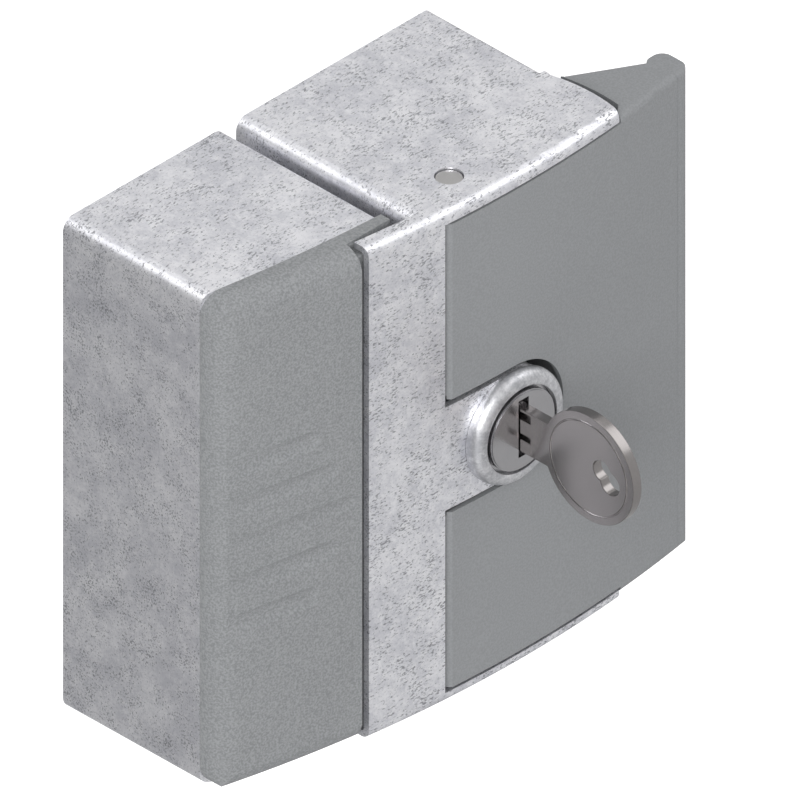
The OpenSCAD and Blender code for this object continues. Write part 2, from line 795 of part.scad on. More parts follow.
module key() {
    color(nickel) difference() {
        translate([cyl_x - key_t / 2, 0, 0]) rotate([90, 0, 90]) linear_extrude(key_t) difference() {
            union() {
                translate([-bow_d, bow_rise]) circle(bow_r, $fn = fn_mid);
                translate([-bow_d, bow_rise - neck_h / 2]) square([bow_d - shoulder_d, neck_h]);
                translate([-shoulder_d - 0.1, -blade_h / 2]) square([blade_len - 5.5, blade_h]);
                translate([-shoulder_d + blade_len - 5.7, -blade_h / 2])
                    polygon([[0, 0], [2.8, blade_h / 2 - 1], [2.8, blade_h / 2 + 1], [0, blade_h]]);
            }
            // Two lobes of the hole for the key ring
            translate([-bow_d - 4.6, bow_rise + 0.9]) circle(2.2, $fn = fn_small);
            translate([-bow_d - 6.6, bow_rise - 0.9]) circle(2.4, $fn = fn_small);
            for (i = [0 : wafers - 1], s = [-1, 1])
                translate([-wafer_d(i), s * (blade_h / 2 - cuts[i] + 2)]) rotate([0, 0, 45])
                    square(2 * sqrt(2), center = true);
        }
        // Milled groove along both sides of the blade
        for (s = [-1, 1]) translate([cyl_x + s * key_t / 2, -shoulder_d - 0.5 + blade_len / 2, s * 1.4])
            cube([1, blade_len + 1, 1.2], center = true);
    }
}

// The cover's joint with the housing, seen from above
module behind_joint(extra) {
    translate([-joint_shift, joint_cy]) circle(joint_r + extra, $fn = fn_large);
}

module keeper_housing() {
    color(steel) difference() {
        intersection() {
            push(0, front_d) sleeve_section(keeper_l, keeper_r);
            prism(-top, top) behind_joint(0);
        }
        translate([keeper_r - sheet_t - 1, -(bolt_d + bolt_t + 1.2), -window_h / 2])
            cube([sheet_t + 2, bolt_t + 2.4, window_h]);
    }
}

module keeper_back_plate() {
    color(bright) difference() {
        push(0, plate_t) round_rect(keeper_l + sheet_t, keeper_r - sheet_t, -inner_top, inner_top,
                                    side_bend_r - sheet_t);
        fixing_holes(keeper_x);
        for (z = [-1, 1]) {
            bar(strike_screw_x, z * strike_screw_z, -1, plate_t + 1, 2.5 + pin_gap);
            cover_screw(z, pin_gap);
        }
    }
}

// Middle of the cover's round corner, seen from above, on the front face's arc
corner_r = cover_edge_r + 1;
corner_x = keeper_l + corner_r;
corner_a = asin(-corner_x / (front_r - corner_r));
corner_y = front_cy - (front_r - corner_r) * cos(corner_a);

// Outline of the cover seen from above, open towards the front face's arc
module cover_outline(gap) {
    translate([corner_x, corner_y]) circle(corner_r - gap, $fn = fn_mid);
    translate([keeper_l + gap, corner_y]) square([corner_r - gap + 1, -corner_y]);
    polygon([[corner_x, corner_y],
             [corner_x - far * sin(corner_a), corner_y - far * cos(corner_a)],
             [keeper_r - gap, -far], [keeper_r - gap, -1], [corner_x, -1]]);
}

// Solid of the cover's outside or inside, smaller by gap all round
module cover_body(gap) {
    z = top - gap;
    e = max(cover_edge_r - gap, 0.5);
    intersection() {
        sweep_front() translate([-gap, 0]) round_rect(front_r - 60, front_r, -z, z, e);
        push(0, far) round_rect(keeper_l + gap, far, -z, z, e);
        prism(-top, top) cover_outline(gap);
    }
}

// The grooves of the thumb grip, cut by round bars that run out at their right ends
module thumb_grooves() {
    cut_r = (groove_h * groove_h / 4 + groove_depth * groove_depth) / (2 * groove_depth);
    for (i = [0 : grooves - 1]) {
        k = abs(i - (grooves - 1) / 2);
        reach = groove_short + groove_step * ((grooves - 1) / 2 - k);
        x = keeper_l + corner_r + reach;
        z = -groove_drop - (i - (grooves - 1) / 2) * groove_pitch;
        d = arc_d(front_r, x - reach * 0.5) + cut_r - groove_depth;
        slope = atan(-(x - reach * 0.5) / front_r);
        translate([x - reach * 0.5, -d, z]) rotate([0, 0, -slope]) {
            translate([-reach, 0, 0]) rotate([0, 90, 0]) cylinder(h = reach * 1.5, r = cut_r, $fn = fn_mid);
            translate([reach * 0.5, 0, 0]) sphere(r = cut_r, $fn = fn_mid);
        }
    }
}

// One cover screw, countersunk into the back plate
module cover_screw(z, gap) {
    bar(cover_post_x, z * cover_post_z, -gap, 24 + gap, cover_screw_r + gap);
    translate([cover_post_x, gap, z * cover_post_z]) rotate([90, 0, 0])
        cylinder(h = 2, r1 = cover_screw_r + 2 + gap, r2 = cover_screw_r + gap, $fn = fn_small);
}

module cover_screws() {
    color(dark_steel) for (z = [-1, 1]) difference() {
        cover_screw(z, 0);
        bar(cover_post_x, z * cover_post_z, -1, 1.2, 1, 6);
    }
}

module keeper_cover() {
    color(plastic) difference() {
        union() {
            difference() {
                cover_body(0);
                prism(-top, top) behind_joint(0);
                difference() {
                    cover_body(cover_wall);
                    prism(-top, top) translate([step_x - cover_wall, -far]) square([far, far - step_d + cover_wall]);
                }
            }
            // Spigot that slips into the housing
            intersection() {
                difference() {
                    push(10, front_d) round_rect(keeper_l + sheet_t + 0.15, keeper_r - sheet_t - 0.15,
                                                 -inner_top + 0.15, inner_top - 0.15, 1.35);
                    push(0, far) round_rect(keeper_l + sheet_t + spigot_t, keeper_r - sheet_t - spigot_t,
                                            -inner_top + spigot_t, inner_top - spigot_t, 0.8);
                }
                prism(-top, top) difference() {
                    behind_joint(1.5);
                    behind_joint(-spigot_d);
                }
            }
            for (z = [-1, 1] * cover_post_z)
                bar(cover_post_x, z, plate_t + 0.1, arc_d(front_r, cover_post_x) - 1, cover_post_r);
        }
        // Steps that clear the strip and its short flanges
        translate([step_x, -far, -top - 1]) cube([far, far - step_d, case_h + 2]);
        for (z = [inner_top - swing_gap, -top - 5])
            translate([step_x, -far, z]) cube([far, far - ear_step_d, top - inner_top + swing_gap + 5]);
        thumb_grooves();
        for (z = [-1, 1]) cover_screw(z, pin_gap);
    }
}

module strike_plate() {
    x1 = keeper_r - sheet_t;
    color(dark_steel) difference() {
        union() {
            translate([x1 - strike_t, -34, -strike_z]) cube([strike_t, 34 - plate_t, 2 * strike_z]);
            translate([x1 - strike_foot, -plate_t - strike_t, -strike_z])
                cube([strike_foot, strike_t, 2 * strike_z]);
        }
        translate([x1 - strike_t - 1, -(bolt_d + bolt_t + slide_gap), -bolt_h / 2 - 0.5])
            cube([strike_t + 2, bolt_t + 1.2, bolt_h + 1]);
        for (z = [-1, 1] * strike_screw_z) bar(strike_screw_x, z, plate_t - 1, plate_t + strike_t + 1, 2.7);
    }
}

module strike_screws() {
    d0 = plate_t + strike_t;
    color(bright) for (z = [-1, 1] * strike_screw_z) difference() {
        union() {
            bar(strike_screw_x, z, 0.4, d0 + 0.1, 2.5);
            bar(strike_screw_x, z, d0, d0 + 3, 4.2);
        }
        bar(strike_screw_x, z, d0 + 1.2, d0 + 4, 1.7, 6);
    }
}

case_shell();
back_plate();
guide_studs();
spring_rod();
bolt_spring();
pivot_pins();
pin_clips();
cylinder_collar();
cylinder_housing();
cylinder_nut();
pull_handle();
handle_bushes();
drive_dowels();
bolt_carriage();
latch_bolt();
bolt_screws();
cylinder_plug();
plug_clip();
wafer_tumblers();
tumbler_springs();
lock_cam();
cam_washer();
cam_screw();
key();
keeper_housing();
keeper_back_plate();
keeper_cover();
cover_screws();
strike_plate();
strike_screws();
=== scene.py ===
"""Looks of the compact door lock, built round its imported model.

The lock half with its pull handle and cylinder, the key and the keeper half are dressed
here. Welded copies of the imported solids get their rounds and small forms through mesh
operators, and each finish is made of nodes that read the pieces' own coordinates.
"""

from __future__ import annotations

import json
import logging
import math
from abc import ABC, abstractmethod
from dataclasses import dataclass
from enum import Enum
from typing import Callable, Iterable, Union

import bpy
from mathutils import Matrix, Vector

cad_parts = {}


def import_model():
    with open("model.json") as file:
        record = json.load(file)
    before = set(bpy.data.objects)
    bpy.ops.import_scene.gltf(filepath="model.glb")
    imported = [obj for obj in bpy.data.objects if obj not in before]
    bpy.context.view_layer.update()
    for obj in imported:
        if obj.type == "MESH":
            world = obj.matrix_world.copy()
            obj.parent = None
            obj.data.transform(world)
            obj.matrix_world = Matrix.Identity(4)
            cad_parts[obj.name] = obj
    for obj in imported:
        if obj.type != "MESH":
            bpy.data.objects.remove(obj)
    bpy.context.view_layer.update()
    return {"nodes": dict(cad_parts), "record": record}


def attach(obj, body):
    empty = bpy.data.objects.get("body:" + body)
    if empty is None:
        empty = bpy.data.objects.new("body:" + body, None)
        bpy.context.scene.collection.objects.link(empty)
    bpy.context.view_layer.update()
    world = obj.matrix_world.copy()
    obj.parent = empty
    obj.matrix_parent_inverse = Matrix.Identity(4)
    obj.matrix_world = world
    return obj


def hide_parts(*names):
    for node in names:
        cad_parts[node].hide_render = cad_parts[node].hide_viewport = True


LOG = logging.getLogger("door_lock")

# One millimetre in the scene's metres
MM = 0.001
# Slack of a test on a corner's place
NEAR_MM = 0.05
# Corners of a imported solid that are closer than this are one
WELD_MM = 0.002
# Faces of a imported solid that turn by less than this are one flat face
FLAT_DEG = 0.2
# Rounded pieces are shaded smooth over edges that turn by less than this
SHADE_DEG = 32.0
# The axis of the handle's pins, as X and Y
PIVOT_MM = (-11.3, -44.5)

Number = Union[float, "Signal"]
Step = tuple[float, float]
Triple = tuple[float, float, float]
Colour = Triple
Test = Callable[[Vector], bool]


class Body(Enum):
    """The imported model's rigid bodies."""

    CASE = "lock_case"
    HANDLE = "handle"
    BOLT = "bolt"
    PLUG = "plug"
    KEY = "key"
    KEEPER = "keeper"


class Slot(Enum):
    """The record's material slots."""

    GALVANISED = "galvanised"
    ZINC = "zinc_plate"
    SPRING = "spring_steel"
    HARDENED = "hardened_steel"
    PLASTIC = "grey_plastic"
    PIN = "pin_steel"
    CHROME = "satin_chrome"
    NICKEL = "nickel_key"
    BRASS = "bare_brass"


# Finishes


class Signal:
    """A number on a node's socket that can be used in Python sums."""

    def __init__(self, sheet: "NodeSheet", socket: bpy.types.NodeSocket) -> None:
        """Wraps a socket.

        Args:
            sheet: The node tree that the socket belongs to.
            socket: The output socket that carries the number.
        """
        self.sheet = sheet
        self.socket = socket

    def _maths(self, operation: str, *operands: Number) -> "Signal":
        """Adds one Math node.

        Args:
            operation: The Math node's operation.
            operands: Its inputs in order.

        Returns:
            The node's result.
        """
        node = self.sheet.node("ShaderNodeMath", {"operation": operation}, dict(enumerate(operands)))
        return Signal(self.sheet, node.outputs[0])

    def __add__(self, other: Number) -> "Signal":
        """Sum of two numbers."""
        return self._maths("ADD", self, other)

    def __radd__(self, other: Number) -> "Signal":
        """Sum with a plain number in front."""
        return self._maths("ADD", other, self)

    def __sub__(self, other: Number) -> "Signal":
        """Difference of two numbers."""
        return self._maths("SUBTRACT", self, other)

    def __rsub__(self, other: Number) -> "Signal":
        """Difference with a plain number in front."""
        return self._maths("SUBTRACT", other, self)

    def __mul__(self, other: Number) -> "Signal":
        """Product of two numbers."""
        return self._maths("MULTIPLY", self, other)

    def __rmul__(self, other: Number) -> "Signal":
        """Product with a plain number in front."""
        return self._maths("MULTIPLY", other, self)

    def rising(self, low: float, high: float) -> "Signal":
        """A smooth step.

        Args:
            low: Where the step leaves 0.
            high: Where it reaches 1.

        Returns:
            A number from 0 to 1.
        """
        node = self.sheet.node(
            "ShaderNodeMapRange",
            {"interpolation_type": "SMOOTHSTEP", "clamp": True},
            {"Value": self, "From Min": low, "From Max": high, "To Min": 0.0, "To Max": 1.0},
        )
        return Signal(self.sheet, node.outputs["Result"])


class NodeSheet:
    """A node tree that is written through two methods, one for nodes and one for inputs."""

    def __init__(self, tree: bpy.types.NodeTree) -> None:
        """Takes over a tree and empties it.

        Args:
            tree: The node tree of a material or of the world.
        """
        self.tree = tree
        self.tree.nodes.clear()

    def node(self, kind: str, settings: dict | None = None, inputs: dict | None = None) -> bpy.types.Node:
        """Adds a node.

        Args:
            kind: The node's type.
            settings: Its properties, such as a Math node's operation.
            inputs: Values, signals or sockets for its inputs, by name or by number.

        Returns:
            The new node.
        """
        node = self.tree.nodes.new(kind)
        for key, value in (settings or {}).items():
            setattr(node, key, value)
        for key, value in (inputs or {}).items():
            self.feed(node.inputs[key], value)
        return node

    def feed(self, socket: bpy.types.NodeSocket, value: object) -> None:
        """Sets or links one input.

        Args:
            socket: The input.
            value: A signal, an output socket, a number or a colour.
        """
        if isinstance(value, Signal):
            self.tree.links.new(value.socket, socket)
        elif isinstance(value, bpy.types.NodeSocket):
            self.tree.links.new(value, socket)
        elif isinstance(value, tuple) and len(value) == 3 and socket.type == "RGBA":
            socket.default_value = (*value, 1.0)
        else:
            socket.default_value = value

    def along(self, vector: bpy.types.NodeSocket, axis: Triple) -> Signal:
        """How far a vector reaches along an axis.

        Args:
            vector: The vector's socket.
            axis: The axis, whose length scales the result.

        Returns:
            The dot product of the two.
        """
        node = self.node("ShaderNodeVectorMath", {"operation": "DOT_PRODUCT"}, {0: vector, 1: axis})
        return Signal(self, node.outputs["Value"])


class FinishSheet(NodeSheet):
    """The node tree of one finish, with the patterns that finishes are made of."""

    def __init__(self, name: str) -> None:
        """Starts a material with its shader and output.

        Args:
            name: Name of the material.
        """
        self.material = bpy.data.materials.new(name)
        self.material.use_nodes = True
        super().__init__(self.material.node_tree)
        self.shader = self.node("ShaderNodeBsdfPrincipled")
        self.output = self.node("ShaderNodeOutputMaterial", {}, {"Surface": self.shader.outputs[0]})

    def place(self, stretch: Triple = (1.0, 1.0, 1.0),
              turn: Triple = (0.0, 0.0, 0.0)) -> bpy.types.NodeSocket:
        """Object coordinates, stretched and turned for a pattern.

        Args:
            stretch: Scale along each axis.
            turn: Rotation about each axis in radians.

        Returns:
            The vector socket.
        """
        source = self.node("ShaderNodeTexCoord").outputs["Object"]
        mapped = self.node("ShaderNodeMapping", {}, {"Vector": source, "Rotation": turn, "Scale": stretch})
        return mapped.outputs["Vector"]

    def noise(self, size_mm: float, detail: float = 2.0, rough: float = 0.5,
              where: bpy.types.NodeSocket | None = None, seed: float = 0.0) -> Signal:
        """Soft noise.

        Args:
            size_mm: Size of its blobs in millimetres.
            detail: Octaves of finer noise.
            rough: Strength of the finer noise.
            where: Vector to read, or the plain object coordinates.
            seed: Fourth coordinate, to tell patterns apart.

        Returns:
            A number round 0.5.
        """
        node = self.node(
            "ShaderNodeTexNoise",
            {"noise_dimensions": "4D"},
            {"Vector": where or self.place(), "W": seed, "Scale": 1.0 / (size_mm * MM),
             "Detail": detail, "Roughness": rough},
        )
        return Signal(self, node.outputs["Fac"])

    def blend(self, mask: Number, first: object, second: object) -> bpy.types.NodeSocket:
        """Mixes two colours.

        Args:
            mask: 0 shows the first colour and 1 the second.
            first: A colour or a socket.
            second: A colour or a socket.

        Returns:
            The mixed colour's socket.
        """
        # The Mix node's colours are its inputs 6 and 7 and its output 2
        node = self.node(
            "ShaderNodeMix", {"data_type": "RGBA", "clamp_factor": True}, {0: mask, 6: first, 7: second})
        return node.outputs[2]

    def bumps(self, height: Signal, depth_mm: float, strength: float) -> None:
        """Raises the surface by a pattern.

        Args:
            height: Pattern from 0 to 1.
            depth_mm: Height of the pattern in millimetres.
            strength: How strongly it shows.
        """
        node = self.node(
            "ShaderNodeBump", {}, {"Strength": strength, "Distance": depth_mm * MM, "Height": height})
        self.feed(self.shader.inputs["Normal"], node.outputs["Normal"])

    def surface(self, **values: object) -> None:
        """Sets the shader's inputs.

        Args:
            values: Inputs by their names, with underscores for spaces.
        """
        for key, value in values.items():
            self.feed(self.shader.inputs[key.replace("_", " ")], value)


class Finish(ABC):
    """A finish that makes its material once and hands it out."""

    name: str

    @abstractmethod
    def paint(self, sheet: FinishSheet) -> None:
        """Adds the finish's nodes.

        Args:
            sheet: The node tree to fill.
        """

    def material(self) -> bpy.types.Material:
        """The finish's material, made at its first use.

        Returns:
            The material.
        """
        found = bpy.data.materials.get(self.name)
        if found is None:
            sheet = FinishSheet(self.name)
            self.paint(sheet)
            found = sheet.material
        return found


@dataclass(frozen=True)
class GalvanisedSheet(Finish):
    """Hot-dip galvanised sheet: mottled zinc with small slanting dark flecks."""

    name: str = "galvanised_sheet"
    pale: Colour = (0.97, 0.97, 1.0)
    middle: Colour = (0.70, 0.705, 0.755)
    fleck: Colour = (0.20, 0.205, 0.225)
    cloud_mm: float = 13.0
    crowd_mm: float = 4.48
    mottle_mm: float = 2.8
    patch_mm: float = 1.26
    fleck_mm: float = 1.0
    dust_mm: float = 0.5
    relief_mm: float = 0.035
    strength: float = 0.78
    metallic: float = 0.86
    tone_step: Step = (0.52, 0.83)
    fleck_step: Step = (0.565, 0.74)
    fleck_stretch: Triple = (1.0, 2.3, 2.3)
    first_turn: Triple = (0.5, 0.6, 0.7)
    second_turn: Triple = (-0.6, 0.7, -0.8)

    def flecks(self, sheet: FinishSheet, turn: Triple, seed: float) -> Signal:
        """Short dark strokes that lie one way.

        Args:
            sheet: The node tree to fill.
            turn: Rotation of the strokes in radians.
            seed: Tells this set of strokes from others.

        Returns:
            1 on a stroke and 0 beside it.
        """
        lie = sheet.place(self.fleck_stretch, turn)
        stroke = sheet.noise(self.fleck_mm, 2.0, 0.62, lie, seed)
        crowd = sheet.noise(self.crowd_mm, 1.0, 0.5, seed=seed + 4.0)
        return (stroke * 0.82 + crowd * 0.26).rising(*self.fleck_step)

    def paint(self, sheet: FinishSheet) -> None:
        """Clouds and mottling under two sets of strokes and a fine dust.

        Args:
            sheet: The node tree to fill.
        """
        cloud = sheet.noise(self.cloud_mm, 2.0, 0.55)
        mottle = sheet.noise(self.mottle_mm, 3.0, 0.6, seed=3.0)
        dust = sheet.noise(self.dust_mm, 1.0, 0.5, seed=19.0)
        patch = sheet.noise(self.patch_mm, 2.0, 0.6, seed=43.0)
        tone = (cloud * 0.4 + mottle * 0.4 + patch * 0.3 + dust * 0.25).rising(*self.tone_step)
        colour = sheet.blend(tone, self.middle, self.pale)
        first = self.flecks(sheet, self.first_turn, 7.0)
        second = self.flecks(sheet, self.second_turn, 31.0)
        spots = (first + second).rising(0.0, 1.0)
        colour = sheet.blend(spots * self.strength, colour, self.fleck)
        rough = 0.30 + mottle * 0.16 + spots * 0.20
        sheet.surface(Base_Color=colour, Metallic=self.metallic, Roughness=rough)
        sheet.bumps(mottle * 0.5 + dust * 0.35 - spots * 0.4, self.relief_mm, 0.6)


@dataclass(frozen=True)
class MouldedPlastic(Finish):
    """Fine-grained matte grey moulding."""

    name: str
    base: Colour
    dark: Colour
    relief_mm: float
    grain_mm: float = 0.46
    cloud_mm: float = 14.0
    grain_step: Step = (0.34, 0.66)
    rough: float = 0.56
    specular: float = 0.35

    def paint(self, sheet: FinishSheet) -> None:
        """Eroded grain in colour and height.

        Args:
            sheet: The node tree to fill.
        """
        grain = sheet.noise(self.grain_mm, 1.5, 0.6)
        cloud = sheet.noise(self.cloud_mm, 1.0, 0.5, seed=5.0)
        tone = grain.rising(*self.grain_step) * 0.8 + cloud * 0.2
        colour = sheet.blend(tone, self.dark, self.base)
        sheet.surface(
            Base_Color=colour, Roughness=self.rough + grain * 0.1, Specular_IOR_Level=self.specular)
        sheet.bumps(grain, self.relief_mm, 0.8)


@dataclass(frozen=True)
class PlainMetal(Finish):
    """Turned, ground or plated metal with a faint streak."""

    name: str
    base: Colour
    rough: float
    streak_mm: float = 0.5
    cloud_mm: float = 6.0
    relief_mm: float = 0.01
    variation: float = 0.24

    def paint(self, sheet: FinishSheet) -> None:
        """Fine streaks and a soft cloud.

        Args:
            sheet: The node tree to fill.
        """
        streak = sheet.noise(self.streak_mm, 2.0, 0.5)
        cloud = sheet.noise(self.cloud_mm, 2.0, 0.5, seed=2.0)
        darker = tuple(part * (1.0 - self.variation) for part in self.base)
        colour = sheet.blend(streak * 0.5 + cloud * 0.5, darker, self.base)
        sheet.surface(Base_Color=colour, Metallic=1.0, Roughness=self.rough + streak * 0.12)
        sheet.bumps(streak, self.relief_mm, 0.3)


GALVANISED = GalvanisedSheet()
COLLAR_ZINC = GalvanisedSheet(
    "collar_zinc", pale=(0.80, 0.80, 0.82), middle=(0.46, 0.465, 0.49), strength=0.06)
# The handle's grey is darker than the cover's, though both are the same grey plastic: painted shade for
# the handle's front, which turns away from the light
PLASTIC = MouldedPlastic("handle_plastic_painted_shade", (0.274, 0.282, 0.291), (0.230, 0.237, 0.245), relief_mm=0.04)
COVER_PLASTIC = MouldedPlastic(
    "cover_plastic", (0.300, 0.308, 0.316), (0.190, 0.197, 0.203), relief_mm=0.08)
ZINC = PlainMetal("zinc_plating", (0.66, 0.67, 0.69), rough=0.32)
SPRING = PlainMetal("spring_wire", (0.42, 0.43, 0.45), rough=0.28)
HARDENED = PlainMetal("hardened_steel", (0.20, 0.20, 0.22), rough=0.36)
PIN = PlainMetal("pin_end", (0.64, 0.63, 0.625), rough=0.30)
CHROME = PlainMetal("cylinder_chrome", (0.53, 0.525, 0.54), rough=0.15)
NICKEL = PlainMetal("key_nickel", (0.375, 0.355, 0.35), rough=0.17)
BRASS = PlainMetal("turned_brass", (0.70, 0.55, 0.28), rough=0.25)

SLOT_FINISH: dict[Slot, Finish] = {
    Slot.GALVANISED: GALVANISED,
    Slot.ZINC: ZINC,
    Slot.SPRING: SPRING,
    Slot.HARDENED: HARDENED,
    Slot.PLASTIC: PLASTIC,
    Slot.PIN: PIN,
    Slot.CHROME: CHROME,
    Slot.NICKEL: NICKEL,
    Slot.BRASS: BRASS,
}


# Modelling by hand, through operators


def clear_selection() -> None:
    """Leaves edit mode and selects nothing."""
    if bpy.context.object and bpy.context.object.mode != "OBJECT":
        bpy.ops.object.mode_set(mode="OBJECT")
    bpy.ops.object.select_all(action="DESELECT")


def take(piece: bpy.types.Object) -> None:
    """Makes a piece the only selected one.

    Args:
        piece: The piece to work on.
    """
    clear_selection()
    piece.select_set(True)
    bpy.context.view_layer.objects.active = piece


def settle(piece: bpy.types.Object) -> None:
    """Puts a piece's place into its mesh."""
    take(piece)
    bpy.ops.object.transform_apply(location=True, rotation=True, scale=True)


def apply_modifier(piece: bpy.types.Object, kind: str, **settings: object) -> None:
    """Adds a modifier and applies it.

    Args:
        piece: The piece to change.
        kind: The modifier's type.
        settings: The modifier's properties.
    """
    take(piece)
    modifier = piece.modifiers.new(kind.lower(), kind)
    for key, value in settings.items():
        setattr(modifier, key, value)
    bpy.ops.object.modifier_apply(modifier=modifier.name)


def copy_of_node(node: str, name: str) -> bpy.types.Object:
    """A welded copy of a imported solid, as the start of a dressed piece.

    Args:
        node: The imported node.
        name: Name of the new piece.

    Returns:
        The new piece, with flat areas merged to single faces.
    """
    source = bpy.data.objects[node]
    piece = bpy.data.objects.new(name, source.data.copy())
    bpy.context.scene.collection.objects.link(piece)
    piece.data.materials.clear()
    take(piece)
    bpy.ops.object.mode_set(mode="EDIT")
    bpy.ops.mesh.select_all(action="SELECT")
    bpy.ops.mesh.remove_doubles(threshold=WELD_MM * MM)
    bpy.ops.mesh.dissolve_limited(angle_limit=math.radians(FLAT_DEG))
    bpy.ops.mesh.select_all(action="DESELECT")
    bpy.ops.object.mode_set(mode="OBJECT")
    return piece


def round_edges(piece: bpy.types.Object, width_mm: float, sharp_deg: float = 35.0) -> None:
    """Rounds every sharp edge with two faces.

    Args:
        piece: The piece to change.
        width_mm: Width of the round.
        sharp_deg: Edges that turn by more than this are rounded.
    """
    apply_modifier(
        piece, "BEVEL", width=width_mm * MM, segments=2, limit_method="ANGLE",
        angle_limit=math.radians(sharp_deg), use_clamp_overlap=True, harden_normals=False,
        miter_outer="MITER_ARC",
    )
    smooth(piece, SHADE_DEG)


def pick(piece: bpy.types.Object, wanted: Test) -> int:
    """Enters edit mode with the corners that answer a test selected.

    Args:
        piece: The piece to work on.
        wanted: Tells from a corner's place in millimetres whether it is taken.

    Returns:
        How many corners are selected.
    """
    take(piece)
    bpy.ops.object.mode_set(mode="EDIT")
    bpy.ops.mesh.select_mode(type="VERT")
    bpy.ops.mesh.select_all(action="DESELECT")
    bpy.ops.object.mode_set(mode="OBJECT")
    for corner in piece.data.vertices:
        corner.select = wanted(corner.co / MM)
    count = sum(corner.select for corner in piece.data.vertices)
    bpy.ops.object.mode_set(mode="EDIT")
    return count


def shift(piece: bpy.types.Object, by_mm: Triple, wanted: Test) -> None:
    """Moves the corners that answer a test.

    Args:
        piece: The piece to change.
        by_mm: How far, in millimetres.
        wanted: Which corners.
    """
    if pick(piece, wanted):
        bpy.ops.transform.translate(value=tuple(v * MM for v in by_mm))
    clear_selection()


def squeeze(piece: bpy.types.Object, factor: Triple, about_mm: Triple, wanted: Test) -> None:
    """Scales the corners that answer a test about a point.

    Args:
        piece: The piece to change.
        factor: Scale along each axis.
        about_mm: The point that stays, in millimetres.
        wanted: Which corners.
    """
    if pick(piece, wanted):
        bpy.ops.transform.resize(value=factor, center_override=tuple(v * MM for v in about_mm))
    clear_selection()


def cut(piece: bpy.types.Object, cutter: bpy.types.Object) -> None:
    """Cuts one piece with another, which is then deleted.

    Args:
        piece: The piece to cut.
        cutter: The shape that is taken away.
    """
    settle(cutter)
    apply_modifier(piece, "BOOLEAN", operation="DIFFERENCE", solver="EXACT", object=cutter)
    bpy.data.objects.remove(cutter, do_unlink=True)


def smooth(piece: bpy.types.Object, angle_deg: float) -> None:
    """Shades a piece smooth except over its sharp edges.

    Args:
        piece: The piece.
        angle_deg: Edges that turn by more stay sharp.
    """
    take(piece)
    if piece.data.has_custom_normals:
        bpy.ops.mesh.customdata_custom_splitnormals_clear()
    bpy.ops.object.shade_smooth_by_angle(angle=math.radians(angle_deg))
    apply_modifier(piece, "WEIGHTED_NORMAL", mode="FACE_AREA_WITH_ANGLE", weight=50, keep_sharp=True)


def hand_over(piece: bpy.types.Object, body: Body, slot: Slot, finish: Finish, *nodes: str) -> None:
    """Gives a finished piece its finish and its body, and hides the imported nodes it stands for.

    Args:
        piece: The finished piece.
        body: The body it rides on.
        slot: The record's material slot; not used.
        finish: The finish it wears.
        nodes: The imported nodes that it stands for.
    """
    piece.data.materials.clear()
    piece.data.materials.append(finish.material())
    if nodes:
        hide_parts(*nodes)
    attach(piece, body.value)
    LOG.info("%s: %d faces on %s", piece.name, len(piece.data.polygons), body.value)


# The object's sub-assemblies


@dataclass
class Hardware:
    """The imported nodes. All but the eight that dressed pieces stand for keep their own shape."""

    record: dict
    nodes: dict[str, bpy.types.Object]

    def dress(self) -> None:
        """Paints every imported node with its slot's finish."""
        slots = {part["node"]: Slot(part["material_slot"]) for part in self.record["subparts"]}
        for name, node in self.nodes.items():
            finish = SLOT_FINISH[slots[name]]
            node.data.materials.clear()
            node.data.materials.append(finish.material())
            LOG.info("%s wears %s", name, finish.name)


